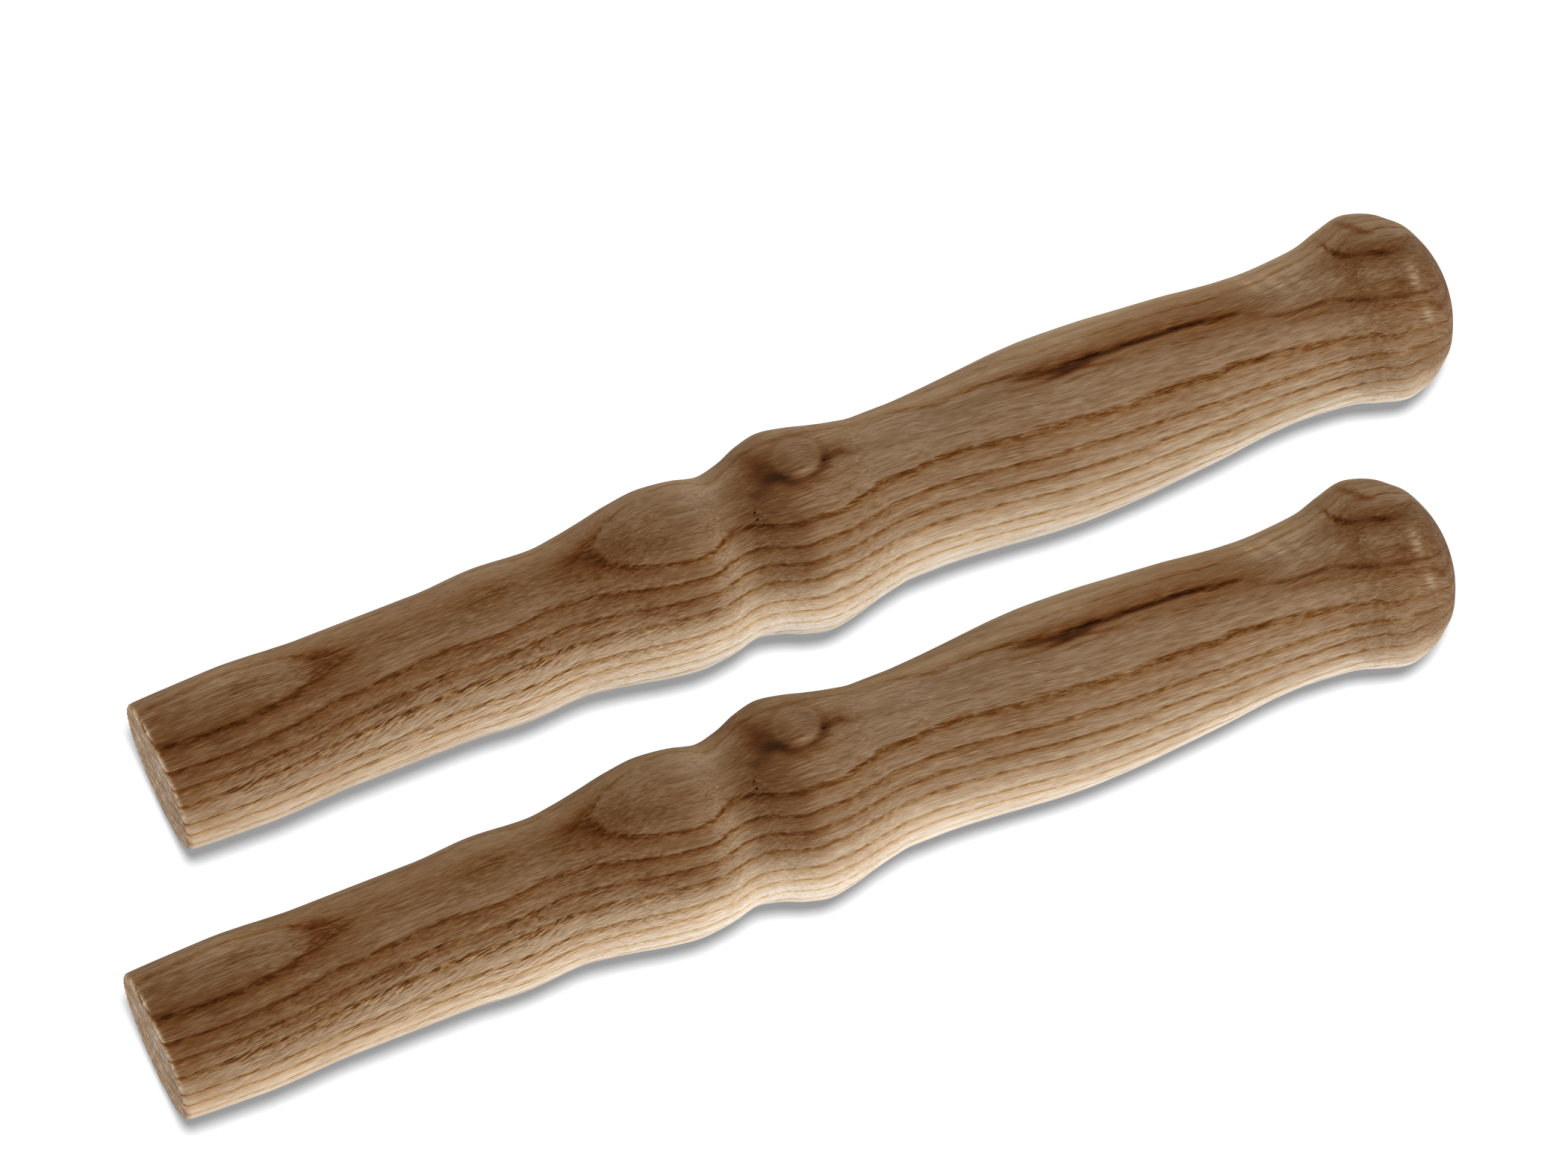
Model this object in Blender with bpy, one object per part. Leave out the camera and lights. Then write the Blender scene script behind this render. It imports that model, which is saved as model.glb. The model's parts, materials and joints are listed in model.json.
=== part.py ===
"""A pair of turned wooden claves, lying side by side on a table.

Each clave is one solid stick, turned from a single billet and sawn off square at its butt. The sticks lie
along X with their knobs towards +X, and the table top is the plane Z = 0. Sizes are in metres.
"""

import math

import bpy
import numpy as np

MM = 0.001

# The turned outline, from the sawn butt to the crown of the knob.
# A LENGTH runs to its feature from the feature before it, and a DIAMETER is the width at the feature.
BUTT_DIAMETER = 22.8 * MM
BUTT_EDGE_RADIUS = 0.8 * MM
BUTT_SWELL_LENGTH = 13.5 * MM
BUTT_SWELL_DIAMETER = 23.7 * MM
GRIP_RUNOUT_LENGTH = 12.0 * MM
GRIP_LENGTH = 18.0 * MM
GRIP_DIAMETER = 22.65 * MM
RING_LENGTH = 9.0 * MM
RING_DIAMETER = 23.6 * MM
HOLLOW_LENGTH = 8.8 * MM
HOLLOW_DIAMETER = 22.6 * MM
FLANK_LENGTH = 8.2 * MM
FLANK_DIAMETER = 24.95 * MM
BULB_LENGTH = 9.3 * MM
BULB_DIAMETER = 27.7 * MM
BULB_BACK_LENGTH = 5.8 * MM
BULB_BACK_DIAMETER = 26.4 * MM
GROOVE_LENGTH = 3.2 * MM
GROOVE_DIAMETER = 24.9 * MM
BEAD_LENGTH = 10.5 * MM
BEAD_DIAMETER = 30.4 * MM
BEAD_BACK_LENGTH = 7.2 * MM
BEAD_BACK_DIAMETER = 27.4 * MM
WAIST_RUNOUT_LENGTH = 6.5 * MM
WAIST_LENGTH = 5.2 * MM
WAIST_DIAMETER = 24.95 * MM
BODY_LENGTH = 22.0 * MM
BODY_DIAMETER = 27.85 * MM
TAPER_LENGTH = 17.5 * MM
TAPER_DIAMETER = 25.85 * MM
NECK_LENGTH = 16.3 * MM
NECK_DIAMETER = 23.0 * MM
FLARE_LENGTH = 8.0 * MM
FLARE_DIAMETER = 24.25 * MM
KNOB_LENGTH = 7.9 * MM
KNOB_DIAMETER = 28.3 * MM
SHOULDER_LENGTH = 4.5 * MM
SHOULDER_DIAMETER = 25.5 * MM
CROWN_LENGTH = 3.6 * MM
CROWN_DIAMETER = 19.5 * MM
CROWN_HEIGHT = 3.0 * MM

# How the pair lies: the clear gap between the sticks, and how far the far one is pushed ahead.
PAIR_GAP = 8.5 * MM
PAIR_STAGGER = 15.1 * MM

# Fineness of the turned surface.
SIDES = 36
POINT_SPACING = 4.0 * MM
FEWEST_STEPS = 2
ARC_STEPS = 4
MERGE_DISTANCE = 0.01 * MM

WOOD_COLOUR = (0.45, 0.28, 0.15, 1.0)
WOOD_ROUGHNESS = 0.6

# (length from the feature before, diameter), in order along the stick.
FEATURES = (
    (BUTT_SWELL_LENGTH, BUTT_SWELL_DIAMETER),
    (GRIP_RUNOUT_LENGTH, GRIP_DIAMETER),
    (GRIP_LENGTH, GRIP_DIAMETER),
    (RING_LENGTH, RING_DIAMETER),
    (HOLLOW_LENGTH, HOLLOW_DIAMETER),
    (FLANK_LENGTH, FLANK_DIAMETER),
    (BULB_LENGTH, BULB_DIAMETER),
    (BULB_BACK_LENGTH, BULB_BACK_DIAMETER),
    (GROOVE_LENGTH, GROOVE_DIAMETER),
    (BEAD_LENGTH, BEAD_DIAMETER),
    (BEAD_BACK_LENGTH, BEAD_BACK_DIAMETER),
    (WAIST_RUNOUT_LENGTH, WAIST_DIAMETER),
    (WAIST_LENGTH, WAIST_DIAMETER),
    (BODY_LENGTH, BODY_DIAMETER),
    (TAPER_LENGTH, TAPER_DIAMETER),
    (NECK_LENGTH, NECK_DIAMETER),
    (FLARE_LENGTH, FLARE_DIAMETER),
    (KNOB_LENGTH, KNOB_DIAMETER),
    (SHOULDER_LENGTH, SHOULDER_DIAMETER),
    (CROWN_LENGTH, CROWN_DIAMETER),
)


def clear_scene():
    for old in list(bpy.data.objects):
        bpy.data.objects.remove(old, do_unlink=True)


def stations():
    """(distance from the butt face, radius) of the butt's rim and of each feature after it."""
    points = [(BUTT_EDGE_RADIUS, BUTT_DIAMETER / 2)]
    along = 0.0
    for length, diameter in FEATURES:
        along += length
        points.append((along, diameter / 2))
    return points


def slopes(points):
    """The outline's slope at each station: level on crests and in hollows, even through a flank."""
    chords = [(b[1] - a[1]) / (b[0] - a[0]) for a, b in zip(points, points[1:])]
    inner = []
    for before, after in zip(chords, chords[1:]):
        same_way = before * after > 0
        inner.append(2 * before * after / (before + after) if same_way else 0.0)
    return [chords[0], *inner, chords[-1]]


def flowing_curve(points):
    """A smooth curve through the stations that never swings past a crest or a hollow."""
    curve = [points[0]]
    steepness = slopes(points)
    for i, (start, end) in enumerate(zip(points, points[1:])):
        span = end[0] - start[0]
        steps = max(FEWEST_STEPS, round(span / POINT_SPACING))
        for step in range(1, steps + 1):
            t = step / steps
            radius = (2 * t**3 - 3 * t**2 + 1) * start[1] + (3 * t**2 - 2 * t**3) * end[1]
            radius += (t**3 - 2 * t**2 + t) * span * steepness[i]
            radius += (t**3 - t**2) * span * steepness[i + 1]
            curve.append((start[0] + t * span, radius))
    return curve


def butt_edge():
    """The flat butt face and its eased edge, up to the rim."""
    face_radius = BUTT_DIAMETER / 2 - BUTT_EDGE_RADIUS
    points = [(0.0, 0.0)]
    for step in range(ARC_STEPS):
        turn = math.pi / 2 * step / ARC_STEPS
        along = BUTT_EDGE_RADIUS * (1 - math.cos(turn))
        points.append((along, face_radius + BUTT_EDGE_RADIUS * math.sin(turn)))
    return points


def crown_dome(edge_along):
    """The shallow round dome that closes the knob, from its edge to its middle."""
    edge_radius = CROWN_DIAMETER / 2
    dome_radius = (edge_radius**2 + CROWN_HEIGHT**2) / (2 * CROWN_HEIGHT)
    centre = edge_along + CROWN_HEIGHT - dome_radius
    spread = math.atan2(edge_radius, dome_radius - CROWN_HEIGHT)
    points = []
    for step in range(1, ARC_STEPS):
        turn = spread * (1 - step / ARC_STEPS)
        points.append((centre + dome_radius * math.cos(turn), dome_radius * math.sin(turn)))
    points.append((edge_along + CROWN_HEIGHT, 0.0))
    return points


def clave_outline():
    """(distance from the butt face, radius) all along the stick, from the axis to the axis again."""
    features = stations()
    return np.array(butt_edge() + flowing_curve(features) + crown_dome(features[-1][0]))


def flat_distance(radius):
    """How far the middle of a facet lies from the axis, where its corners lie at this radius."""
    return radius * math.cos(math.pi / SIDES)


def balance_point(outline):
    """The distance from the butt face to the stick's centre of mass."""
    along, radius = outline.T
    slices = np.diff(along) * ((radius[1:] + radius[:-1]) / 2) ** 2
    return float(np.sum(slices * (along[1:] + along[:-1]) / 2) / np.sum(slices))


def lie_on_table(outline):
    """The tilt at which the stick lies on its two resting rings, and the height of its butt's middle."""
    balance = balance_point(outline)
    behind = outline[outline[:, 0] <= balance]
    ahead = outline[outline[:, 0] > balance]
    share = (balance - behind[:, None, 0]) / (ahead[None, :, 0] - behind[:, None, 0])
    reach = behind[:, None, 1] * (1 - share) + ahead[None, :, 1] * share
    i, j = np.unravel_index(np.argmax(reach), reach.shape)
    drop = flat_distance(behind[i, 1]) - flat_distance(ahead[j, 1])
    tilt = math.atan2(drop, ahead[j, 0] - behind[i, 0])
    height = behind[i, 0] * math.sin(tilt) + flat_distance(behind[i, 1]) * math.cos(tilt)
    return tilt, height


def middle_along(outline, tilt):
    """Half way along the tilted stick, measured level from its butt's middle."""
    level = outline[:, 0] * math.cos(tilt)
    overhang = flat_distance(outline[:, 1]) * math.sin(abs(tilt))
    return float((np.min(level - overhang) + np.max(level + overhang)) / 2)


def axis_spacing(outline):
    """The distance between the two axes that leaves PAIR_GAP at the pair's tightest place."""
    along, radius = outline.T
    places = np.concatenate((along, along + PAIR_STAGGER))
    near = np.interp(places, along, radius, left=0.0, right=0.0)
    far = np.interp(places - PAIR_STAGGER, along, radius, left=0.0, right=0.0)
    return PAIR_GAP + flat_distance(float(np.max(near + far)))


def wood():
    material = bpy.data.materials.new("turned_wood")
    material.use_nodes = True
    shader = material.node_tree.nodes["Principled BSDF"]
    shader.inputs["Base Color"].default_value = WOOD_COLOUR
    shader.inputs["Roughness"].default_value = WOOD_ROUGHNESS
    shader.inputs["Metallic"].default_value = 0.0
    return material


def outline_mesh(outline):
    """The outline as a chain of edges beside Z, with the crown at the top and the butt at the bottom."""
    corners = [(radius, 0.0, along) for along, radius in outline[::-1].tolist()]
    mesh = bpy.data.meshes.new("clave_outline")
    mesh.from_pydata(corners, [(i, i + 1) for i in range(len(corners) - 1)], [])
    mesh.materials.append(wood())
    return mesh


def clave(name, mesh, butt, tilt):
    """One stick turned from the outline, lying on a facet with its knob towards +X."""
    stick = bpy.data.objects.new(name, mesh)
    bpy.context.scene.collection.objects.link(stick)
    turning = stick.modifiers.new("turning", "SCREW")
    turning.axis = "Z"
    turning.angle = 2 * math.pi
    turning.steps = SIDES
    turning.render_steps = SIDES
    turning.use_merge_vertices = True
    turning.merge_threshold = MERGE_DISTANCE
    turning.use_smooth_shade = True
    stick.rotation_mode = "ZYX"
    stick.rotation_euler = (0.0, math.pi / 2 + tilt, math.pi / SIDES)
    stick.location = butt
    return stick


def build_pair():
    """The striking clave lies nearer, at -Y, and the resting clave lies beyond it, pushed ahead."""
    outline = clave_outline()
    mesh = outline_mesh(outline)
    tilt, height = lie_on_table(outline)
    middle = middle_along(outline, tilt)
    spacing = axis_spacing(outline)
    for name, side in (("striking_clave", -0.5), ("resting_clave", 0.5)):
        butt = (side * PAIR_STAGGER - middle, side * spacing, height)
        clave(name, mesh, butt, tilt)


clear_scene()
build_pair()
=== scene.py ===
"""A pair of claves, turned from ash with a brown heart, side by side on a white studio floor.

A stick is turned again here from the outline of its CAD solid, at the same place and size, with far more
faces. Its wood figure is then laid out in the stick's own coordinates, in millimetres: s runs from the
sawn butt to the crown, u up the picture and w towards the eye.
"""

import json
import math

import bpy
import numpy as np
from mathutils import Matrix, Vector, noise


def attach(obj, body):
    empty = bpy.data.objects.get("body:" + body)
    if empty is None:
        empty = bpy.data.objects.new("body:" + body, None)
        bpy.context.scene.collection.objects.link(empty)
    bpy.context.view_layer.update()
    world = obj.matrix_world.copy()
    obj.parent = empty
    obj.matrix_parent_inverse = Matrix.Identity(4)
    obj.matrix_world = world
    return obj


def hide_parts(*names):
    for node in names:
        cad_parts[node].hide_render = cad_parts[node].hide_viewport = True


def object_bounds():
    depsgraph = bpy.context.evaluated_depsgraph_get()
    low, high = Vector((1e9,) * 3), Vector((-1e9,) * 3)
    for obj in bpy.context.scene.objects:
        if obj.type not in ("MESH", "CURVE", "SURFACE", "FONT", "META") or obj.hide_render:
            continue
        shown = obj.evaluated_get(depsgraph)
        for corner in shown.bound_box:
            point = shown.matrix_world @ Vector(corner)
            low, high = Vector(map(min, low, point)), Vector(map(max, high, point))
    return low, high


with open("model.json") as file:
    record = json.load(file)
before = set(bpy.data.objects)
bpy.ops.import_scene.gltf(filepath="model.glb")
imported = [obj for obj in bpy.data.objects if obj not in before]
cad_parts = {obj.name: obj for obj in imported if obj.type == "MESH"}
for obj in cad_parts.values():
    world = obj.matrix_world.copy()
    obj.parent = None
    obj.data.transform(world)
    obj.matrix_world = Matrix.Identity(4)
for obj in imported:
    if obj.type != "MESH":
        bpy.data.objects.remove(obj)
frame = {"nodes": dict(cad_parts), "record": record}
cad_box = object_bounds()

MM = 0.001

# (name of the piece, the CAD node and body that it stands for, the mount at the middle of its butt)
STICKS = (
    ("resting_stick", "resting_clave", "resting_butt"),
    ("striking_stick", "striking_clave", "striking_butt"),
)
WOOD_SLOT = "turned_wood"

# Fineness of the turned surface.
SIDES = 240
LONGEST_STEP = 0.65 * MM
SAME_POINT = 0.05 * MM
MERGE_DISTANCE = 0.001 * MM

# How far the wood figure is turned about the stick's axis, away from straight up.
FIGURE_TURN = math.radians(14.7)

# How the growth rings run: (s, slant of the ring planes in degrees, their drift in mm).
RING_RUN = (
    (0, 52, 0.75), (20, 51, 0.7), (29, 52, 0.15), (45, 50, -0.2), (62, 50, -0.2), (70, 52, -0.75),
    (77, 52, -0.6), (86, 52, 0.45), (91, 52, -0.3), (98.5, 58, -1.65), (105, 56, -0.2), (110, 54, 0.45),
    (115, 54, 0.45), (122, 59, -0.3), (131, 64, -1.0), (140, 70, -1.65), (148, 72, -1.25),
    (158, 73, -0.5), (164, 75, 0.05), (170, 75, 0.75), (175, 75, 1.0), (181, 75, 0.8), (186, 75, 0.0),
    (190, 76, 0.1), (193.5, 76, 1.8), (197.5, 75, 6.0), (200, 74, 10.0),
)

# The early wood of each growth ring: (depth in mm, how dark its line is), from the sapwood to the heart.
GROWTH_RINGS = (
    (-18.0, 0.7), (-15.5, 0.8), (-12.5, 0.7), (-9.0, 0.8), (-6.0, 0.7), (-3.0, 0.7), (0.0, 0.7),
    (2.3, 0.8), (5.5, 0.75), (7.7, 0.75), (9.7, 0.85), (11.6, 0.95), (13.6, 0.7), (16.0, 0.5),
    (18.5, 0.5),
)
# The innermost rings show on the knob alone: they start at this depth, and fade in along the stick.
HEART_CORE = (11.9, 12.6)
HEART_CORE_SHOWS = (181, 190)
# The ring that only just reaches the crest of the stick is faint past this depth and height, on the grip
# and on the neck: (where that starts, where it ends, how much of the line is lost).
FAINT_CREST_DEPTH = (10.2, 11.2)
FAINT_CREST_HEIGHT = (0.0, 4.0)
FAINT_CRESTS = (((28, 36), (58, 66), 0.6), ((166, 173), (182, 190), 0.9))

# How light the wood is between its rings, from 0 to 1: (depth, tone). The sapwood and the heart each shift
# along the stick: (s, shift). Before the fine grain is added, no wood is paler than the palest tone.
TONE_BY_DEPTH = (
    (-18.0, 0.86), (-10.0, 0.93), (-6.5, 0.965), (-4.0, 0.94), (-2.0, 0.875), (-0.5, 0.825), (1.5, 0.75),
    (3.2, 0.695), (5.0, 0.63), (6.5, 0.57), (8.0, 0.545), (10.0, 0.54), (12.0, 0.53), (16.0, 0.5),
)
SAP_ALONG = (
    (0, -0.085), (30, -0.09), (51, -0.05), (67, -0.055), (78, -0.02), (87, 0.015), (94, -0.01),
    (102, -0.03), (115, 0.02), (149, 0.01), (165, 0.11), (178, 0.135), (188, 0.03), (200, 0.0),
)
HEART_ALONG = (
    (0, -0.09), (12, -0.085), (30, -0.06), (51, -0.05), (62, -0.06), (70, -0.065), (80, -0.055),
    (87, 0.03), (92, -0.075), (96, -0.075), (102, -0.005), (113, 0.0), (130, 0.0), (149, 0.015),
    (165, 0.005), (178, 0.02), (186, -0.045), (193, -0.03), (200, -0.03),
)
PALEST = 0.95
# The sapwood turns to heart between these depths, in tone and in hue.
HEART_STARTS = (0.0, 6.0)
HEART_HUE = (-1.0, 4.0)
# The lines grow softer on the knob, between these places, by this share.
KNOB_LINES_SOFTEN = (181, 188)
KNOB_LINES_LOSE = 0.4
# The upper side, which the lamps light less, is painted lighter again, as painted light, with this share
# of the lines. It starts at the first of these shares of the radius and is full at the second.
UPPER_SIDE = (0.6, 0.99)
UPPER_PAINTED_LIGHT = 0.1
UPPER_LINES = 0.3

# Dark streaks that run with the grain: (s, u, half width in mm, darkness) at each turn, from end to end.
HEART_STREAK = (
    (131, 9.3, 0.3, 0.0), (134.5, 8.8, 0.45, 0.45), (138, 8.2, 0.7, 0.65), (142, 7.8, 0.8, 0.85),
    (146, 8.0, 0.75, 0.9), (149, 7.8, 0.55, 0.7), (154, 7.6, 0.5, 0.8), (160, 7.3, 0.5, 0.75),
    (165, 6.8, 0.45, 0.65), (168.7, 6.1, 0.4, 0.5), (171.5, 4.6, 0.8, 0.3), (174.9, 3.6, 0.5, 0.5),
    (178, 3.4, 0.4, 0.65), (181.5, 3.2, 0.4, 0.5), (184.8, 1.9, 0.5, 0.6), (188, 0.9, 0.6, 0.5),
    (192.8, -0.3, 0.6, 0.55), (196, -0.7, 0.4, 0.45), (199.3, 0.0, 0.4, 0.3),
)
UNDER_STREAK = (
    (132, 7.6, 0.25, 0.0), (134.5, 7.4, 0.3, 0.5), (139, 7.0, 0.3, 0.45), (143.5, 7.1, 0.3, 0.5),
    (148, 6.4, 0.4, 0.5), (153, 6.2, 0.3, 0.0),
)
NECK_STREAK = (
    (173.5, 2.6, 0.3, 0.0), (176, 2.3, 0.4, 0.5), (180.1, 1.8, 0.4, 0.5), (183, 1.6, 0.3, 0.0),
)
KNOB_STREAK = (
    (183.4, 12.6, 1.2, 0.0), (184.2, 11.0, 1.2, 0.6), (185.2, 9.1, 0.8, 0.75), (186.8, 8.1, 0.5, 0.7),
    (188.2, 7.8, 0.4, 0.45), (190.2, 7.3, 0.5, 0.65), (191.3, 6.8, 0.5, 0.65), (193.3, 6.5, 0.5, 0.4),
    (198, 7.4, 0.5, 0.0),
)
KNOB_TOP_STREAK = (
    (186.6, 13.6, 0.9, 0.0), (187.8, 12.9, 1.0, 0.5), (189.4, 11.4, 1.1, 0.6), (190.9, 10.4, 0.7, 0.45),
    (193, 9.8, 0.6, 0.0),
)
STREAKS = (HEART_STREAK, UNDER_STREAK, NECK_STREAK, KNOB_STREAK, KNOB_TOP_STREAK)

# The pin knot on the bead: its middle, its reach along and across the stick, and how many times its reach
# the hidden side of the stick counts as being away from it.
KNOT_S, KNOT_U = 101.3, 9.8
KNOT_ALONG, KNOT_ACROSS = 4.0, 3.3
KNOT_FAR = 9.0

# The side of the stick that shows in the picture starts between these places towards the eye.
EYE_SIDE = (-1.0, 2.0)
# The sawn face gives way to the turned side between these places along the stick.
SAWN_FACE = (0.1, 0.7)

# Patches of the surface: (s, u, reach along, reach across, strength).
RUST_CLOUDS = (
    (3, 1.0, 1.5, 8.0, 0.5), (10, -0.5, 6.0, 1.0, 0.4), (14, 3.8, 12.0, 1.3, 0.8),
    (22, 10.0, 20.0, 1.5, 0.35), (26, 7.5, 3.0, 2.0, 0.8), (40, 0.5, 14.0, 1.0, 0.5),
    (45, 8.4, 16.0, 1.8, 0.5), (66, 8.0, 5.0, 4.0, 0.35), (70, 4.8, 5.0, 1.8, 0.5),
    (88, 5.5, 3.0, 3.5, 0.35), (95.3, 10.2, 1.9, 2.2, 1.0), (98.5, 6.8, 3.0, 1.0, 0.5),
    (101.5, 5.7, 5.0, 1.1, 0.8), (102, 12.3, 5.0, 1.3, 0.5), (107, 9.2, 2.2, 1.6, 0.7),
    (140, 8.4, 6.0, 1.6, 0.6), (148, 6.0, 8.0, 1.4, 0.4), (150, 9.8, 10.0, 1.6, 0.9),
    (158, 6.3, 10.0, 1.3, 0.4), (163, 8.8, 8.0, 2.4, 1.0), (165, 5.4, 7.0, 1.3, 0.7),
    (171, 5.0, 3.0, 1.6, 0.6), (178, 2.8, 6.0, 1.4, 0.7), (186, 9.0, 3.0, 3.0, 0.5),
    (187, 1.2, 8.0, 1.2, 0.5), (190.5, 6.8, 3.0, 1.6, 0.6), (193.3, 5.9, 2.0, 1.2, 0.5),
)
SOOT = (
    (93.9, 6.7, 1.3, 0.7, 0.5), (94.2, 12.3, 1.4, 1.0, 0.3), (95.6, 10.4, 1.4, 1.7, 0.4),
    (96.2, 8.0, 1.5, 0.9, 0.9), (98.6, 7.8, 0.9, 0.6, 0.5), (105.3, 8.2, 0.8, 0.7, 0.7),
    (107.2, 8.3, 1.4, 0.6, 0.55), (109.4, 7.6, 1.6, 0.5, 0.25),
)
# Mostly painted shade: greyer, darker patches on the left flanks of the bulb, bead and knob and inside the
# knot, with a few smudges.
SHADE_AND_SMUDGE_PATCHES = (
    (9.3, 1.2, 2.0, 1.5, 0.6), (73, 8.0, 2.0, 2.5, 0.4), (78.4, 5.4, 2.5, 1.2, 0.6),
    (91, 1.0, 2.0, 4.0, 0.3), (94.5, 4.5, 2.5, 2.0, 0.5), (96, -2.5, 4.0, 5.0, 0.5),
    (98.4, 8.8, 1.0, 0.9, 0.7), (103.4, 9.1, 1.2, 0.9, 0.4), (190, -3.0, 2.0, 2.0, 0.3),
    (192.3, 2.1, 0.9, 2.4, 0.9),
)
LIGHT_PATCHES = (
    (12, 10.4, 9.0, 2.0, 0.75), (30, 7.5, 28.0, 4.5, 0.35), (100.8, 11.4, 1.3, 0.8, 0.3),
    (101.3, 9.7, 1.6, 0.8, 0.2), (101.7, 7.6, 1.8, 0.7, 0.5), (101.5, 3.6, 3.0, 0.9, 0.4),
    (138, 4.3, 4.0, 1.2, 0.3), (150, 5.0, 7.0, 0.9, 0.2), (150, -8.0, 12.0, 2.4, 0.4),
    (165, -6.8, 10.0, 2.6, 0.7), (178, -6.5, 8.0, 2.4, 0.4), (183, -1.2, 2.5, 0.8, 0.35),
    (188, -9.5, 5.0, 3.5, 0.4), (194.25, -3.4, 0.8, 1.5, 1.1), (194.25, 2.0, 0.9, 1.9, 1.5),
    (195.4, 8.6, 1.5, 1.0, 0.3),
)
# Light patches that chatter of the cutter left. They lean back along the stick as they rise.
CHATTER = (
    (172.4, 9.4, 0.8, 2.0, 0.8), (175.6, 8.4, 0.9, 2.4, 0.9), (178.6, 7.4, 0.8, 2.2, 0.6),
    (182.9, 5.7, 1.5, 1.3, 0.5), (188.4, 5.0, 1.7, 1.2, 0.45),
)
CHATTER_LEAN = 0.6
PITS = (
    (91.5, 6.6, 0.4, 0.3, 0.5), (92.4, 3.4, 0.5, 0.25, 1.0), (92.5, 4.6, 0.35, 0.25, 0.9),
    (95, 1.8, 0.4, 0.25, 0.7), (105, 8.2, 0.3, 0.25, 0.8), (180.8, -0.4, 0.25, 0.5, 0.6),
)
# Where the cutter tore the grain, and the slope at which its short fibres lift out of the run of the rest.
TORN_PATCHES = (
    (12, -6.0, 9.0, 5.0, 0.8), (34, -6.0, 14.0, 6.0, 1.0), (54, -6.0, 12.0, 6.0, 1.0),
    (66, 3.0, 5.0, 4.0, 0.6), (75, -8.0, 12.0, 5.0, 0.7), (92, 3.0, 3.0, 3.0, 0.5),
)
TORN_SLANT = 0.22


def flowing(at, places, values):
    """A smooth curve through the values, level on its crests and in its hollows, read at each place."""
    places = np.asarray(places, float)
    values = np.asarray(values, float)
    span = np.diff(places)
    chord = np.diff(values) / span
    same_way = chord[1:] * chord[:-1] > 0
    total = np.where(same_way, chord[1:] + chord[:-1], 1.0)
    inner = np.where(same_way, 2 * chord[1:] * chord[:-1] / total, 0.0)
    slope = np.concatenate((chord[:1], inner, chord[-1:]))
    i = np.clip(np.searchsorted(places, at, side="right") - 1, 0, len(span) - 1)
    t = np.clip((at - places[i]) / span[i], 0.0, 1.0)
    curve = (2 * t**3 - 3 * t**2 + 1) * values[i] + (3 * t**2 - 2 * t**3) * values[i + 1]
    curve += (t**3 - 2 * t**2 + t) * span[i] * slope[i]
    return curve + (t**3 - t**2) * span[i] * slope[i + 1]


def eased(value, low, high):
    """0 at low, 1 at high, and a smooth step between."""
    t = np.clip((value - low) / (high - low), 0.0, 1.0)
    return t * t * (3 - 2 * t)


# The turned shape


class Lie:
    """Where a stick lies: the middle of its butt, its axis, and the two ways across it for its figure."""

    def __init__(self, mount):
        self.butt = np.array(mount["pos_m"])
        self.along = -np.array(mount["axis"])
        self.along /= np.linalg.norm(self.along)
        across = np.array((0.0, 1.0, 0.0))
        top = np.cross(self.along, across)
        self.up_picture = math.cos(FIGURE_TURN) * across + math.sin(FIGURE_TURN) * top
        self.to_eye = math.cos(FIGURE_TURN) * top - math.sin(FIGURE_TURN) * across

    def point(self, distance, radius):
        """A point of the outline, drawn on the stick's hidden side."""
        return self.butt + distance * self.along - radius * self.to_eye

    def grain(self, spots):
        """The stick's own coordinates s, u and w of these spots, in mm."""
        return (spots - self.butt) @ np.column_stack((self.along, self.up_picture, self.to_eye)) / MM


def cad_outline(node, lie):
    """(distance from the butt, radius) of each ring of corners of the CAD stick, from butt to crown."""
    corners = np.array([vertex.co[:] for vertex in node.data.vertices]) - lie.butt
    distance = corners @ lie.along
    radius = np.linalg.norm(corners - np.outer(distance, lie.along), axis=1)
    rings = np.unique(np.round(np.column_stack((distance, radius)) / SAME_POINT) * SAME_POINT, axis=0)
    outline = [np.zeros(2)]
    for ring in rings:
        if np.linalg.norm(ring - outline[-1]) > 2 * SAME_POINT:
            outline.append(ring)
    return np.array(outline)


def run_along(outline):
    """How far each point of the outline is from its first one, along the outline."""
    return np.concatenate(([0.0], np.cumsum(np.linalg.norm(np.diff(outline, axis=0), axis=1))))


def fine_outline(outline):
    """The same outline with short steps, smooth between the CAD corners."""
    run = run_along(outline)
    fine = [0.0]
    for start, end in zip(run, run[1:]):
        count = math.ceil((end - start) / LONGEST_STEP)
        fine.extend(np.linspace(start, end, count + 1)[1:])
    fine = np.array(fine)
    distance = flowing(fine, run, outline[:, 0])
    radius = np.maximum(flowing(fine, run, outline[:, 1]), 0.0)
    return np.column_stack((distance, radius))


def turn_stick(outline, lie):
    """The outline drawn point by point from a single corner, and spun about the stick's axis."""
    bpy.ops.object.select_all(action="DESELECT")
    bpy.ops.mesh.primitive_plane_add(size=MM)
    points = [Vector(lie.point(distance, radius)) for distance, radius in outline]
    bpy.ops.object.mode_set(mode="EDIT")
    bpy.ops.mesh.select_all(action="SELECT")
    bpy.ops.mesh.merge(type="CENTER")
    bpy.ops.transform.translate(value=points[0])
    for start, end in zip(points, points[1:]):
        bpy.ops.mesh.extrude_region_move(TRANSFORM_OT_translate={"value": end - start})
    bpy.ops.mesh.select_all(action="SELECT")
    bpy.ops.mesh.spin(steps=SIDES, angle=2 * math.pi, center=lie.butt, axis=lie.along)
    bpy.ops.mesh.select_all(action="SELECT")
    bpy.ops.mesh.remove_doubles(threshold=MERGE_DISTANCE)
    bpy.ops.mesh.normals_make_consistent(inside=False)
    bpy.ops.object.mode_set(mode="OBJECT")
    bpy.ops.object.shade_smooth()
    return bpy.context.object


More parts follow.
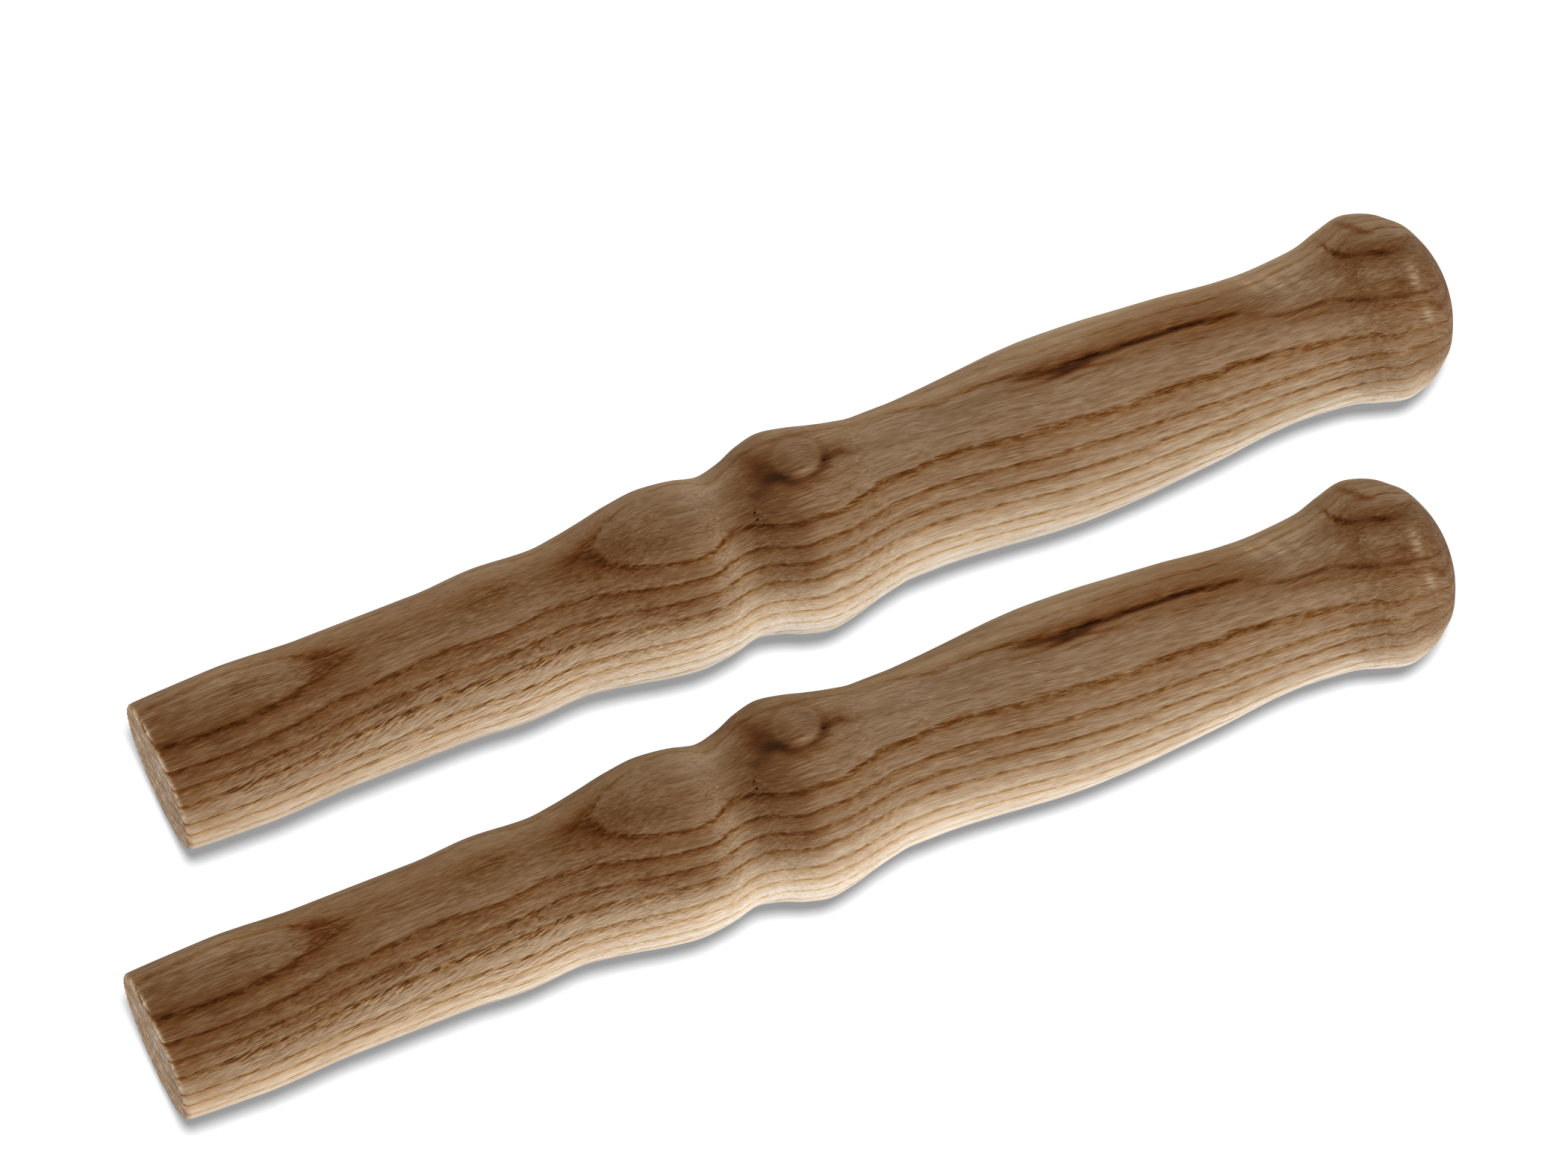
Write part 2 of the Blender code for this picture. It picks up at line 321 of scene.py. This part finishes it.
def copy_stick(stick, shift):
    """The same stick again, with a mesh of its own, moved by shift."""
    bpy.ops.object.select_all(action="DESELECT")
    stick.select_set(True)
    bpy.context.view_layer.objects.active = stick
    bpy.ops.object.duplicate()
    bpy.ops.object.mode_set(mode="EDIT")
    bpy.ops.mesh.select_all(action="SELECT")
    bpy.ops.transform.translate(value=Vector(shift))
    bpy.ops.object.mode_set(mode="OBJECT")
    return bpy.context.object


# The wood figure


def corners_of(stick):
    spots = np.empty(len(stick.data.vertices) * 3)
    stick.data.vertices.foreach_get("co", spots)
    return spots.reshape(-1, 3)


def paint(stick, name, values):
    """Keeps one value, or one vector, for each corner of the stick, for its wood to read."""
    kind = "FLOAT_VECTOR" if values.ndim > 1 else "FLOAT"
    field = "vector" if values.ndim > 1 else "value"
    layer = stick.data.attributes.new(name, kind, "POINT")
    layer.data.foreach_set(field, np.ascontiguousarray(values, np.float32).ravel())


def fibre_run(grain):
    """Coordinates that the fibres keep to: s, the depth across the growth rings, the way along them."""
    s, u, w = grain.T
    places, slants, drifts = np.array(RING_RUN, float).T
    slant = np.radians(flowing(s, places, slants))
    depth = u * np.cos(slant) + w * np.sin(slant) + flowing(s, places, drifts)
    return np.column_stack((s, depth, w * np.cos(slant) - u * np.sin(slant)))


def lifted_run(fibres):
    """Coordinates that torn fibres keep to, which leave the run of the rest at a slope."""
    return fibres - np.outer(TORN_SLANT * fibres[:, 0], (0.0, 1.0, 0.0))


def ring_count(depth):
    """How many growth rings lie below this depth, with each early-wood line at a whole number."""
    depths = [ring[0] for ring in GROWTH_RINGS]
    return np.interp(depth, depths, np.arange(len(depths)))


def line_darkness(grain, depth):
    """How dark the line of early wood is here, after all that softens it."""
    s = grain[:, 0]
    depths, darkness = np.array(GROWTH_RINGS).T
    hidden_core = eased(depth, *HEART_CORE) * (1 - eased(s, *HEART_CORE_SHOWS))
    faint = sum(lost * eased(s, *starts) * (1 - eased(s, *ends)) for starts, ends, lost in FAINT_CRESTS)
    faint_crest = faint * eased(depth, *FAINT_CREST_DEPTH) * eased(grain[:, 1], *FAINT_CREST_HEIGHT)
    upper = (1 - UPPER_LINES) * upper_side(grain)
    knob = KNOB_LINES_LOSE * eased(s, *KNOB_LINES_SOFTEN)
    shown = (1 - hidden_core) * (1 - faint_crest) * (1 - upper) * (1 - knob)
    return np.interp(depth, depths, darkness) * shown


def upper_side(grain):
    """1 on the upper side of the stick, as the picture shows it, and 0 below and behind: the mask of its
    painted light and shade.
    """
    _, u, w = grain.T
    return eased(u / np.maximum(np.hypot(u, w), 0.1), *UPPER_SIDE) * facing_eye(grain)


def facing_eye(grain):
    """1 on the side of the stick that shows in the picture, and 0 on its hidden side."""
    return eased(grain[:, 2], *EYE_SIDE)


def sawn_face(grain):
    """1 on the sawn face of the butt, and 0 on the turned side."""
    return 1 - eased(grain[:, 0], *SAWN_FACE)


def streak(grain, path):
    """A streak along this path, soft across it."""
    s, u, _ = grain.T
    places, heights, widths, darkness = np.array(path, float).T
    off = (u - flowing(s, places, heights)) / flowing(s, places, widths)
    return flowing(s, places, darkness) * np.exp(-off * off) * facing_eye(grain)


def patches(grain, places, lean=0.0):
    """Soft patches of these strengths, each leaning back along the stick as it rises."""
    s, u, _ = grain.T
    total = np.zeros(len(grain))
    for place, height, along, across, strength in places:
        rise = u - height
        total += strength * np.exp(-(((s - place + lean * rise) / along) ** 2) - (rise / across) ** 2)
    return total * facing_eye(grain)


def knot_place(grain):
    """Along and across the pin knot, 1 at its edge, with the hidden side of the stick far from it."""
    s, u, w = grain.T
    far = np.where(w > 0, 0.0, KNOT_FAR)
    return np.column_stack(((s - KNOT_S) / KNOT_ALONG, (u - KNOT_U) / KNOT_ACROSS, far))


def lay_out_figure(stick, grain):
    """Paints the layers that the wood reads."""
    s = grain[:, 0]
    fibres = fibre_run(grain)
    depth = fibres[:, 1]
    paint(stick, "fibres", fibres)
    paint(stick, "lifted", lifted_run(fibres))
    paint(stick, "ring", ring_count(depth))
    paint(stick, "line", line_darkness(grain, depth))
    sap_shift = flowing(s, *zip(*SAP_ALONG))
    heart_shift = flowing(s, *zip(*HEART_ALONG))
    shift = sap_shift + (heart_shift - sap_shift) * eased(depth, *HEART_STARTS)
    # On the upper side, which the lamps light less, the tone is raised as painted light.
    tone = flowing(depth, *zip(*TONE_BY_DEPTH)) + shift + UPPER_PAINTED_LIGHT * upper_side(grain)
    paint(stick, "tone", np.minimum(tone, PALEST))
    # The upper side's mask, for its painted golden shade.
    paint(stick, "upper", upper_side(grain))
    paint(stick, "heart", eased(depth, *HEART_HUE) * facing_eye(grain))
    paint(stick, "stain", sum(streak(grain, path) for path in STREAKS))
    paint(stick, "rust", np.minimum(patches(grain, RUST_CLOUDS), 1.0))
    paint(stick, "shade_and_smudge", patches(grain, SHADE_AND_SMUDGE_PATCHES))
    paint(stick, "soot", patches(grain, SOOT))
    paint(stick, "light", patches(grain, LIGHT_PATCHES) + patches(grain, CHATTER, CHATTER_LEAN))
    paint(stick, "torn", np.minimum(patches(grain, TORN_PATCHES), 1.0))
    paint(stick, "pit", patches(grain, PITS))
    paint(stick, "knot", knot_place(grain))
    paint(stick, "end", sawn_face(grain))


# Small relief, in mm

# Early wood wore into furrows, which sink and rise again over these shares of a growth ring.
FURROW = 0.02
FURROW_SINKS = (0.5, 1.0)
FURROW_RISES = (0.0, 0.15)
# The swell of the pin knot, and the groove round it, by shares of the knot's reach.
KNOT_SWELL = 0.35
KNOT_FLANK = (0.2, 1.0)
KNOT_GROOVE = 0.15
KNOT_GROOVE_AT, KNOT_GROOVE_WIDTH = 1.05, 0.16
CHATTER_DIP = 0.12
PIT_DEPTH = 0.3
# Torn fibres: their height, and how many there are in a millimetre along the stick and across it.
TEAR = 0.12
TEAR_ALONG, TEAR_ACROSS = 0.45, 1.6
# The marks of the saw teeth: their height, the way across them, and their pitch.
SAW_MARK = 0.04
SAW_WAY_UP, SAW_WAY_TO_EYE = 0.8, 0.6
SAW_PITCH = 1.4
# The saw cut the butt askew. It stands out by this much at its middle, and by so much more one butt radius
# up the picture and one towards the eye. The skew dies out along the stick over the last length.
SAW_OUT, SAW_OUT_UP, SAW_OUT_TO_EYE = 0.4, 0.4, -0.37
BUTT_RADIUS = 10.8
SKEW_LENGTH = 6.0


def roughness(spots):
    """Even noise from -1 to 1 at these spots."""
    return np.array([noise.noise(spot) for spot in spots.tolist()])


def relief(grain):
    """How far the finished surface stands out from the turned one."""
    _, u, w = grain.T
    fibres = fibre_run(grain)
    depth = fibres[:, 1]
    phase = ring_count(depth) % 1.0
    early = eased(phase, *FURROW_SINKS) + 1 - eased(phase, *FURROW_RISES)
    end = sawn_face(grain)
    lift = -FURROW * early * line_darkness(grain, depth) * (1 - end)
    reach = np.linalg.norm(knot_place(grain), axis=1)
    lift += KNOT_SWELL * (1 - eased(reach, *KNOT_FLANK))
    lift -= KNOT_GROOVE * np.exp(-(((reach - KNOT_GROOVE_AT) / KNOT_GROOVE_WIDTH) ** 2))
    lift -= CHATTER_DIP * patches(grain, CHATTER, CHATTER_LEAN)
    lift -= PIT_DEPTH * patches(grain, PITS)
    tears = roughness(lifted_run(fibres) * (TEAR_ALONG, TEAR_ACROSS, TEAR_ACROSS))
    lift += TEAR * patches(grain, TORN_PATCHES) * tears
    across_marks = SAW_WAY_UP * u + SAW_WAY_TO_EYE * w
    return lift + SAW_MARK * end * np.sin(2 * math.pi * across_marks / SAW_PITCH)


def saw_skew(grain):
    """How far the askew saw cut stands out past a square one, back along the stick."""
    s, u, w = grain.T
    cut = SAW_OUT + (SAW_OUT_UP * u + SAW_OUT_TO_EYE * w) / BUTT_RADIUS
    return cut * (1 - eased(s, 0.0, SKEW_LENGTH))


def work_surface(stick, grain, lie):
    """Moves each corner out or in by the relief, and those near the butt to the saw cut."""
    normals = np.empty(len(stick.data.vertices) * 3)
    stick.data.vertex_normals.foreach_get("vector", normals)
    worked = corners_of(stick) + normals.reshape(-1, 3) * relief(grain)[:, None] * MM
    worked -= np.outer(saw_skew(grain), lie.along) * MM
    stick.data.vertices.foreach_set("co", worked.ravel())
    stick.data.update()


# The unwrapping for pictures of the wood

UNWRAP = "OFBake"


def unwrap(stick, grain, outline):
    """Unrolls the stick onto a square: once round it fills one side, from butt to crown the other."""
    mesh = stick.data
    corner = np.empty(len(mesh.loops), int)
    mesh.loops.foreach_get("vertex_index", corner)
    starts = np.empty(len(mesh.polygons), int)
    mesh.polygons.foreach_get("loop_start", starts)
    face = np.searchsorted(starts, np.arange(len(corner)), side="right") - 1

    s, u, w = grain.T
    radius = np.hypot(u, w)
    rings, ring_of = np.unique(np.round(np.column_stack((s, radius)), 3), axis=0, return_inverse=True)
    places = outline / MM
    nearest = np.argmin(np.hypot(rings[:, :1] - places[:, 0], rings[:, 1:] - places[:, 1]), axis=1)
    run = run_along(outline)
    height = (run / run[-1])[nearest][ring_of.ravel()][corner]

    middle = (radius * MM < SAME_POINT)[corner]
    turn = (np.round((np.arctan2(u, w) / (2 * math.pi) + 0.5) * SIDES) / SIDES % 1.0)[corner]
    turn[middle] = 0.0
    highest = np.maximum.reduceat(turn, starts)[face]
    turn[(highest - turn > 0.5) & ~middle] += 1.0
    rim_total = np.add.reduceat(np.where(middle, 0.0, turn), starts)
    rim_count = np.add.reduceat(np.where(middle, 0.0, 1.0), starts)
    turn[middle] = (rim_total / rim_count)[face][middle]
    mesh.uv_layers.new(name=UNWRAP).data.foreach_set("uv", np.column_stack((turn, height)).ravel())


# Shader maths

# The rays that make a thing seen, and not only lit.
DIRECT_RAYS = ("Camera", "Glossy", "Transmission")


class Socket:
    """An output of a node. Arithmetic on it adds Math nodes."""

    def __init__(self, finish, plug):
        self.finish = finish
        self.plug = plug

    def maths(self, operation, *values):
        return self.finish.node("ShaderNodeMath", {"operation": operation}, dict(enumerate(values)))

    def __add__(self, other):
        return self.maths("ADD", self, other)

    def __radd__(self, other):
        return self.maths("ADD", other, self)

    def __sub__(self, other):
        return self.maths("SUBTRACT", self, other)

    def __rsub__(self, other):
        return self.maths("SUBTRACT", other, self)

    def __mul__(self, other):
        return self.maths("MULTIPLY", self, other)

    def __rmul__(self, other):
        return self.maths("MULTIPLY", other, self)

    def fraction(self):
        return self.maths("FRACT", self)

    def at_most(self, other):
        return self.maths("MINIMUM", self, other)


class Finish:
    """The nodes of a material, or of the world, in the making."""

    def __init__(self, owner):
        owner.use_nodes = True
        self.owner = owner
        self.tree = owner.node_tree
        self.tree.nodes.clear()

    def node(self, kind, settings, values, output=0):
        """A node of this kind: its settings first, then its sockets, set or linked. Gives one output."""
        made = self.tree.nodes.new(kind)
        for key, setting in settings.items():
            setattr(made, key, setting)
        for key, value in values.items():
            if isinstance(value, Socket):
                self.tree.links.new(value.plug, made.inputs[key])
            else:
                made.inputs[key].default_value = value
        return Socket(self, made.outputs[output]) if made.outputs else None

    def layer(self, name, output="Fac"):
        """What was painted on the piece under this name."""
        return self.node("ShaderNodeAttribute", {"attribute_name": name}, {}, output)

    def noise(self, vector, along, across, detail=3.0, rough=0.5, shift=(0.0, 0.0, 0.0)):
        """Noise whose grains are about 1 / along long and 1 / across wide, in mm."""
        scale = {0: vector, 1: (along, across, across), 2: shift}
        stretched = self.node("ShaderNodeVectorMath", {"operation": "MULTIPLY_ADD"}, scale)
        values = {"Vector": stretched, "Scale": 1.0, "Detail": detail, "Roughness": rough}
        return self.node("ShaderNodeTexNoise", {}, values)

    def eased(self, value, low, high):
        """0 at low, 1 at high, and a smooth step between."""
        values = {"Value": value, "From Min": low, "From Max": high}
        return self.node("ShaderNodeMapRange", {"interpolation_type": "SMOOTHSTEP"}, values)

    def mixed(self, amount, colour, other):
        """From colour to other, by amount."""
        values = {"Factor": amount, 6: colour, 7: other}
        return self.node("ShaderNodeMix", {"data_type": "RGBA"}, values, 2)

    def tinted(self, amount, colour, tint):
        """Colour multiplied by tint, by amount."""
        values = {"Factor": amount, 6: colour, 7: tint}
        return self.node("ShaderNodeMix", {"data_type": "RGBA", "blend_type": "MULTIPLY"}, values, 2)

    def shade(self, tone, shades):
        """The shade of this tone. A shade's tone is its red, and between two shades they are mixed."""
        colour = rgb(*shades[0])
        for darker, lighter in zip(shades, shades[1:]):
            span = {"Value": tone, "From Min": darker[0] / 255, "From Max": lighter[0] / 255}
            colour = self.mixed(self.node("ShaderNodeMapRange", {}, span), colour, rgb(*lighter))
        return colour

    def length(self, vector):
        return self.node("ShaderNodeVectorMath", {"operation": "LENGTH"}, {0: vector}, "Value")

    def part(self, vector, axis):
        return self.node("ShaderNodeSeparateXYZ", {}, {"Vector": vector}, axis)

    def seen_directly(self):
        """1 for what the camera sees, straight, mirrored or through glass, and 0 for what only lights."""
        seen = [self.node("ShaderNodeLightPath", {}, {}, f"Is {ray} Ray") for ray in DIRECT_RAYS]
        return sum(seen).at_most(1.0)

    def surfaced(self, shader):
        """Ends the nodes with this shader, and gives the material or world that they make."""
        of_world = isinstance(self.owner, bpy.types.World)
        kind = "ShaderNodeOutputWorld" if of_world else "ShaderNodeOutputMaterial"
        self.node(kind, {}, {"Surface": shader})
        return self.owner


def rgb(red, green, blue):
    """A colour given as picture values from 0 to 255, made linear for the shader."""
    levels = [value / 255 for value in (red, green, blue)]
    linear = [
        level / 12.92 if level <= 0.04045 else ((level + 0.055) / 1.055) ** 2.4
        for level in levels
    ]
    return (*linear, 1.0)


# The wood's shades from dark to pale, as picture values, and what its parts do to their hue.
WOOD_SHADES = (
    (20, 11, 6), (56, 31, 15), (90, 54, 28), (109, 71, 41), (126, 92, 62), (144, 113, 85),
    (173, 143, 113), (204, 179, 152), (232, 216, 198), (252, 244, 234),
)
SAP_CAST = (1.0, 0.98, 0.96, 1.0)
LATE_CAST = (1.0, 1.08, 1.14, 1.0)
EARLY_CAST = (1.0, 0.95, 0.8, 1.0)
VEIN_CAST = (1.0, 0.89, 0.56, 1.0)
# The golden upper-side cast is painted shade: the deeper hue of shaded wood on the upper side.
UPPER_SHADE_CAST = (1.0, 0.91, 0.77, 1.0)
RUST_CAST = (1.0, 0.84, 0.66, 1.0)
# A grey cast for the painted shade on the flanks and for the smudges.
SHADE_AND_SMUDGE_CAST = (0.96, 1.0, 1.06, 1.0)
SAWN_CAST = (1.0, 0.92, 0.87, 1.0)
# How much the wood shines, how rough it is, how much rougher its early wood is, and its finest relief.
SHINE = 0.03
ROUGH, EARLY_ROUGHER = 0.6, 0.15
BUMP_STRENGTH, BUMP_HEIGHT = 0.6, 0.15 * MM


def turned_wood():
    """Bare ash, its tone built up feature by feature and turned into a colour at the end."""
    wood = Finish(bpy.data.materials.new(WOOD_SLOT))
    # Noise along the grain, from broad clouds down to threads and vessels.
    fibres = wood.layer("fibres", "Vector")
    lifted = wood.layer("lifted", "Vector")
    cloud = wood.noise(fibres, 0.06, 0.2, 2.0)
    waver = wood.noise(fibres, 0.05, 0.25, 1.0)
    band = wood.noise(fibres, 0.05, 1.0, 3.0, 0.6)
    dash = wood.noise(fibres, 0.45, 1.6, 1.0)
    fibre = wood.noise(fibres, 0.12, 2.6, 3.0, 0.6)
    thread = wood.noise(fibres, 0.4, 4.8, 2.0, 0.6)
    hair = wood.noise(fibres, 0.22, 5.0, 1.0, 0.5, (0.3, 0.6, 0.0))
    gleam = wood.noise(fibres, 0.3, 5.5, 1.0, 0.5, (0.7, 0.2, 0.0))
    vessel = wood.noise(fibres, 0.7, 4.2, 1.0)
    tear = wood.noise(lifted, 0.4, 3.0, 1.0)
    # Shifted a little, so that the painted highlight of a lifted fibre lies just beside its dark gap.
    curl = wood.noise(lifted, 0.4, 3.0, 1.0, 0.5, (0.0, -0.9, 0.0))

    # The early wood of each ring: soft on one side, a sharp line on the other, broken into dashes.
    line = wood.layer("line")
    torn = wood.layer("torn")
    ring = wood.layer("ring") + (waver - 0.5) * 0.2 + (fibre - 0.5) * 0.14 + (thread - 0.5) * 0.1
    phase = ring.fraction()
    soft = wood.eased(phase, 0.35, 0.92) + (1 - wood.eased(phase, 0.0, 0.12))
    edge = wood.eased(phase, 0.8, 0.95) + (1 - wood.eased(phase, 0.0, 0.08))
    broken = wood.eased(dash, 0.42, 0.6)
    early = soft * line * (0.55 + broken * 0.45)
    vein = edge * line * (0.3 + broken * 0.7)
    pore = wood.eased(vessel, 0.5, 0.58) * edge * line

    # Rust, and patches of painted shade and smudges, streaky with the grain.
    grainy = wood.eased(fibre * 0.5 + thread * 0.5, 0.3, 0.6)
    streaky = wood.eased(fibre * 0.5 + band * 0.5, 0.3, 0.6)
    stain = wood.layer("stain")
    rust = (wood.layer("rust") * streaky + wood.eased(stain, 0.02, 0.6) * 0.5).at_most(1.0)
    shade_and_smudge = wood.layer("shade_and_smudge")

    # How light the wood is, with its grain, its lines and its patches.
    tone = wood.layer("tone") + (cloud - 0.5) * 0.12 + (band - 0.5) * 0.12
    tone = tone + (fibre - 0.5) * 0.14 + (thread - 0.5) * 0.25
    tone = tone - wood.eased(hair, 0.58, 0.68) * 0.06 + wood.eased(gleam, 0.6, 0.7) * 0.05
    tone = tone - early * 0.05 - vein * (1 - torn * 0.5) * 0.07 - pore * 0.1
    # The shade and smudge patches darken it: mostly painted shade on the left flanks of the bulb, bead and
    # knob.
    tone = tone - rust * 0.08 - shade_and_smudge * 0.05 + wood.layer("light") * (0.3 + grainy * 0.7) * 0.13

    # The pin knot, its rim darkest below, and the soot beside it.
    knot = wood.layer("knot", "Vector")
    reach = wood.length(knot) + (fibre - 0.5) * 0.5 + (thread - 0.5) * 0.3
    below = wood.eased(wood.part(knot, "Y"), 0.2, -0.8)
    rim = wood.eased(reach, 0.8, 0.98) * wood.eased(reach, 1.4, 1.02)
    tone = tone - wood.eased(reach, 1.0, 0.5) * 0.03 - rim * (0.4 + below * 0.6) * 0.14
    tone = tone - wood.layer("soot") * (0.5 + grainy * 0.5) * 0.26

    # Dark streaks with ragged edges, and pits.
    ragged = stain + (fibre - 0.5) * 1.4 + (thread - 0.5)
    tone = tone - wood.eased(ragged, 0.3, 1.0) * wood.eased(stain, 0.06, 0.35) * 0.25
    tone = tone - wood.eased(wood.layer("pit") + (vessel - 0.5) * 0.6, 0.35, 0.75) * 0.35

    # Torn grain, mostly in the early wood: dark gaps, partly painted shade, and pale lifted fibres, partly
    # painted highlight.
    rows = torn * (0.4 + soft * 0.6)
    shaded_gap = wood.eased(tear, 0.53, 0.61) * rows
    lit_lifted_fibre = wood.eased(curl, 0.53, 0.61) * rows
    tone = tone - shaded_gap * 0.16 + lit_lifted_fibre * 0.09

    # The end grain of the sawn butt.
    speck = wood.noise(fibres, 0.0, 3.4, 2.0, 0.6)
    end = wood.layer("end")
    sawn = 0.79 + (cloud - 0.5) * 0.3 + (band - 0.5) * 0.7 + (speck - 0.5) * 0.5
    sawn = sawn - early * 0.1 - edge * line * 0.16
    tone = tone + (sawn - tone) * end

    # The colour of that tone, then the hue of each part.
    colour = wood.shade(tone, WOOD_SHADES)
    late_cast = wood.mixed(wood.layer("heart"), SAP_CAST, LATE_CAST)
    colour = wood.tinted(1.0, colour, wood.mixed(early, late_cast, EARLY_CAST))
    colour = wood.tinted(vein.at_most(1.0), colour, VEIN_CAST)
    # Painted shade: a golden cast on the upper side.
    colour = wood.tinted(wood.layer("upper"), colour, UPPER_SHADE_CAST)
    colour = wood.tinted(rust, colour, RUST_CAST)
    # A grey cast for the painted shade and the smudges.
    colour = wood.tinted(shade_and_smudge, colour, SHADE_AND_SMUDGE_CAST)
    colour = wood.tinted(end, colour, SAWN_CAST)

    height = thread * 0.4 + fibre * 0.5 - vein * 0.4 - pore * 0.8 - shaded_gap * 1.2 + lit_lifted_fibre
    relief_values = {"Strength": BUMP_STRENGTH, "Distance": BUMP_HEIGHT, "Height": height}
    bump = wood.node("ShaderNodeBump", {}, relief_values)
    values = {
        "Base Color": colour,
        "Roughness": ROUGH + early * EARLY_ROUGHER,
        "Specular IOR Level": SHINE,
        "Normal": bump,
    }
    return wood.surfaced(wood.node("ShaderNodeBsdfPrincipled", {}, values))


# The stage

FLOOR_SIZE = 6.0
FLOOR_WHITE = 0.98
# How much the floor glows where it is seen, which keeps its shadow a soft grey.
FLOOR_LIFT = 0.2
WORLD_LIGHT = 0.1
# (name of the lamp, the way to it, how white a white sheet facing it renders, its spread in degrees,
# whether it throws a shadow)
LAMPS = (
    ("overhead", (0.0, -0.11, 1.0), 0.88, 11, True),
    ("bounce", (0.42, -0.9, 0.0), 0.48, 30, False),
)


def lay_floor():
    bpy.ops.object.select_all(action="DESELECT")
    bpy.ops.mesh.primitive_plane_add(size=FLOOR_SIZE)
    floor = bpy.context.object
    floor.name = "floor"
    white = Finish(bpy.data.materials.new("white_floor"))
    pale = (FLOOR_WHITE, FLOOR_WHITE, FLOOR_WHITE, 1.0)
    matt = white.node("ShaderNodeBsdfDiffuse", {}, {"Color": pale})
    glow = white.node("ShaderNodeEmission", {}, {"Strength": white.seen_directly() * FLOOR_LIFT})
    both = white.node("ShaderNodeAddShader", {}, {0: matt, 1: glow})
    floor.data.materials.append(white.surfaced(both))


def light_world():
    """Soft light from all round, and a white background."""
    studio = Finish(bpy.data.worlds.new("studio"))
    strength = WORLD_LIGHT + studio.seen_directly() * (1.0 - WORLD_LIGHT)
    values = {"Color": (1.0, 1.0, 1.0, 1.0), "Strength": strength}
    bpy.context.scene.world = studio.surfaced(studio.node("ShaderNodeBackground", {}, values))


def hang_lamp(name, towards, level, spread, shadow):
    """A far lamp, turned so that its light comes from this way."""
    lamp = bpy.data.lights.new(name, "SUN")
    lamp.energy = level * math.pi
    lamp.angle = math.radians(spread)
    lamp.use_shadow = shadow
    hung = bpy.data.objects.new(name, lamp)
    bpy.context.scene.collection.objects.link(hung)
    hung.rotation_euler = Vector(towards).to_track_quat("Z", "Y").to_euler()


# The camera

LENS = 400.0
SENSOR = 36.0
PICTURE_WIDTH = 225.8 * MM
CAMERA_AZIMUTH = math.radians(-22.1)
CAMERA_ELEVATION = math.radians(74.2)
# The camera aims this far above and left of the middle of the sticks, as the picture shows them.
AIM_UP = 11.8 * MM
AIM_LEFT = 2.9 * MM
FARTHEST_SEEN = 20.0


def picture_camera():
    """A camera far above the sticks that frames them as the picture does."""
    flat = math.cos(CAMERA_ELEVATION)
    sideways = math.sin(CAMERA_AZIMUTH) * flat
    back = Vector((sideways, -math.cos(CAMERA_AZIMUTH) * flat, math.sin(CAMERA_ELEVATION)))
    turn = back.to_track_quat("Z", "Y")
    aim = (cad_box[0] + cad_box[1]) / 2 + turn @ Vector((-AIM_LEFT, AIM_UP, 0.0))
    lens = bpy.data.cameras.new("picture")
    lens.lens = LENS
    lens.sensor_width = SENSOR
    lens.clip_end = FARTHEST_SEEN
    camera = bpy.data.objects.new("picture", lens)
    bpy.context.scene.collection.objects.link(camera)
    camera.location = aim + back * (LENS / SENSOR * PICTURE_WIDTH)
    camera.rotation_mode = "QUATERNION"
    camera.rotation_quaternion = turn
    bpy.context.scene.camera = camera


def claves():
    """Makes one stick, copies it for the other, and puts each on its body."""
    mounts = {mount["name"]: mount for mount in frame["record"]["mounts"]}
    lies = [Lie(mounts[mount]) for _, _, mount in STICKS]
    first_node = frame["nodes"][STICKS[0][1]]
    outline = fine_outline(cad_outline(first_node, lies[0]))
    first = turn_stick(outline, lies[0])
    grain = lies[0].grain(corners_of(first))
    lay_out_figure(first, grain)
    unwrap(first, grain, outline)
    work_surface(first, grain, lies[0])
    first.data.materials.append(turned_wood())
    pair = [first] + [copy_stick(first, lie.butt - lies[0].butt) for lie in lies[1:]]
    for stick, (name, node, _) in zip(pair, STICKS):
        stick.name = name
        stick.data.name = name
        # The sticks throw no colour of their own onto the floor, so their shadow stays grey.
        stick.visible_diffuse = False
        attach(stick, node)
        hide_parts(node)


bpy.context.scene.view_settings.view_transform = "Standard"
picture_camera()
light_world()
for lamp_settings in LAMPS:
    hang_lamp(*lamp_settings)
lay_floor()
claves()
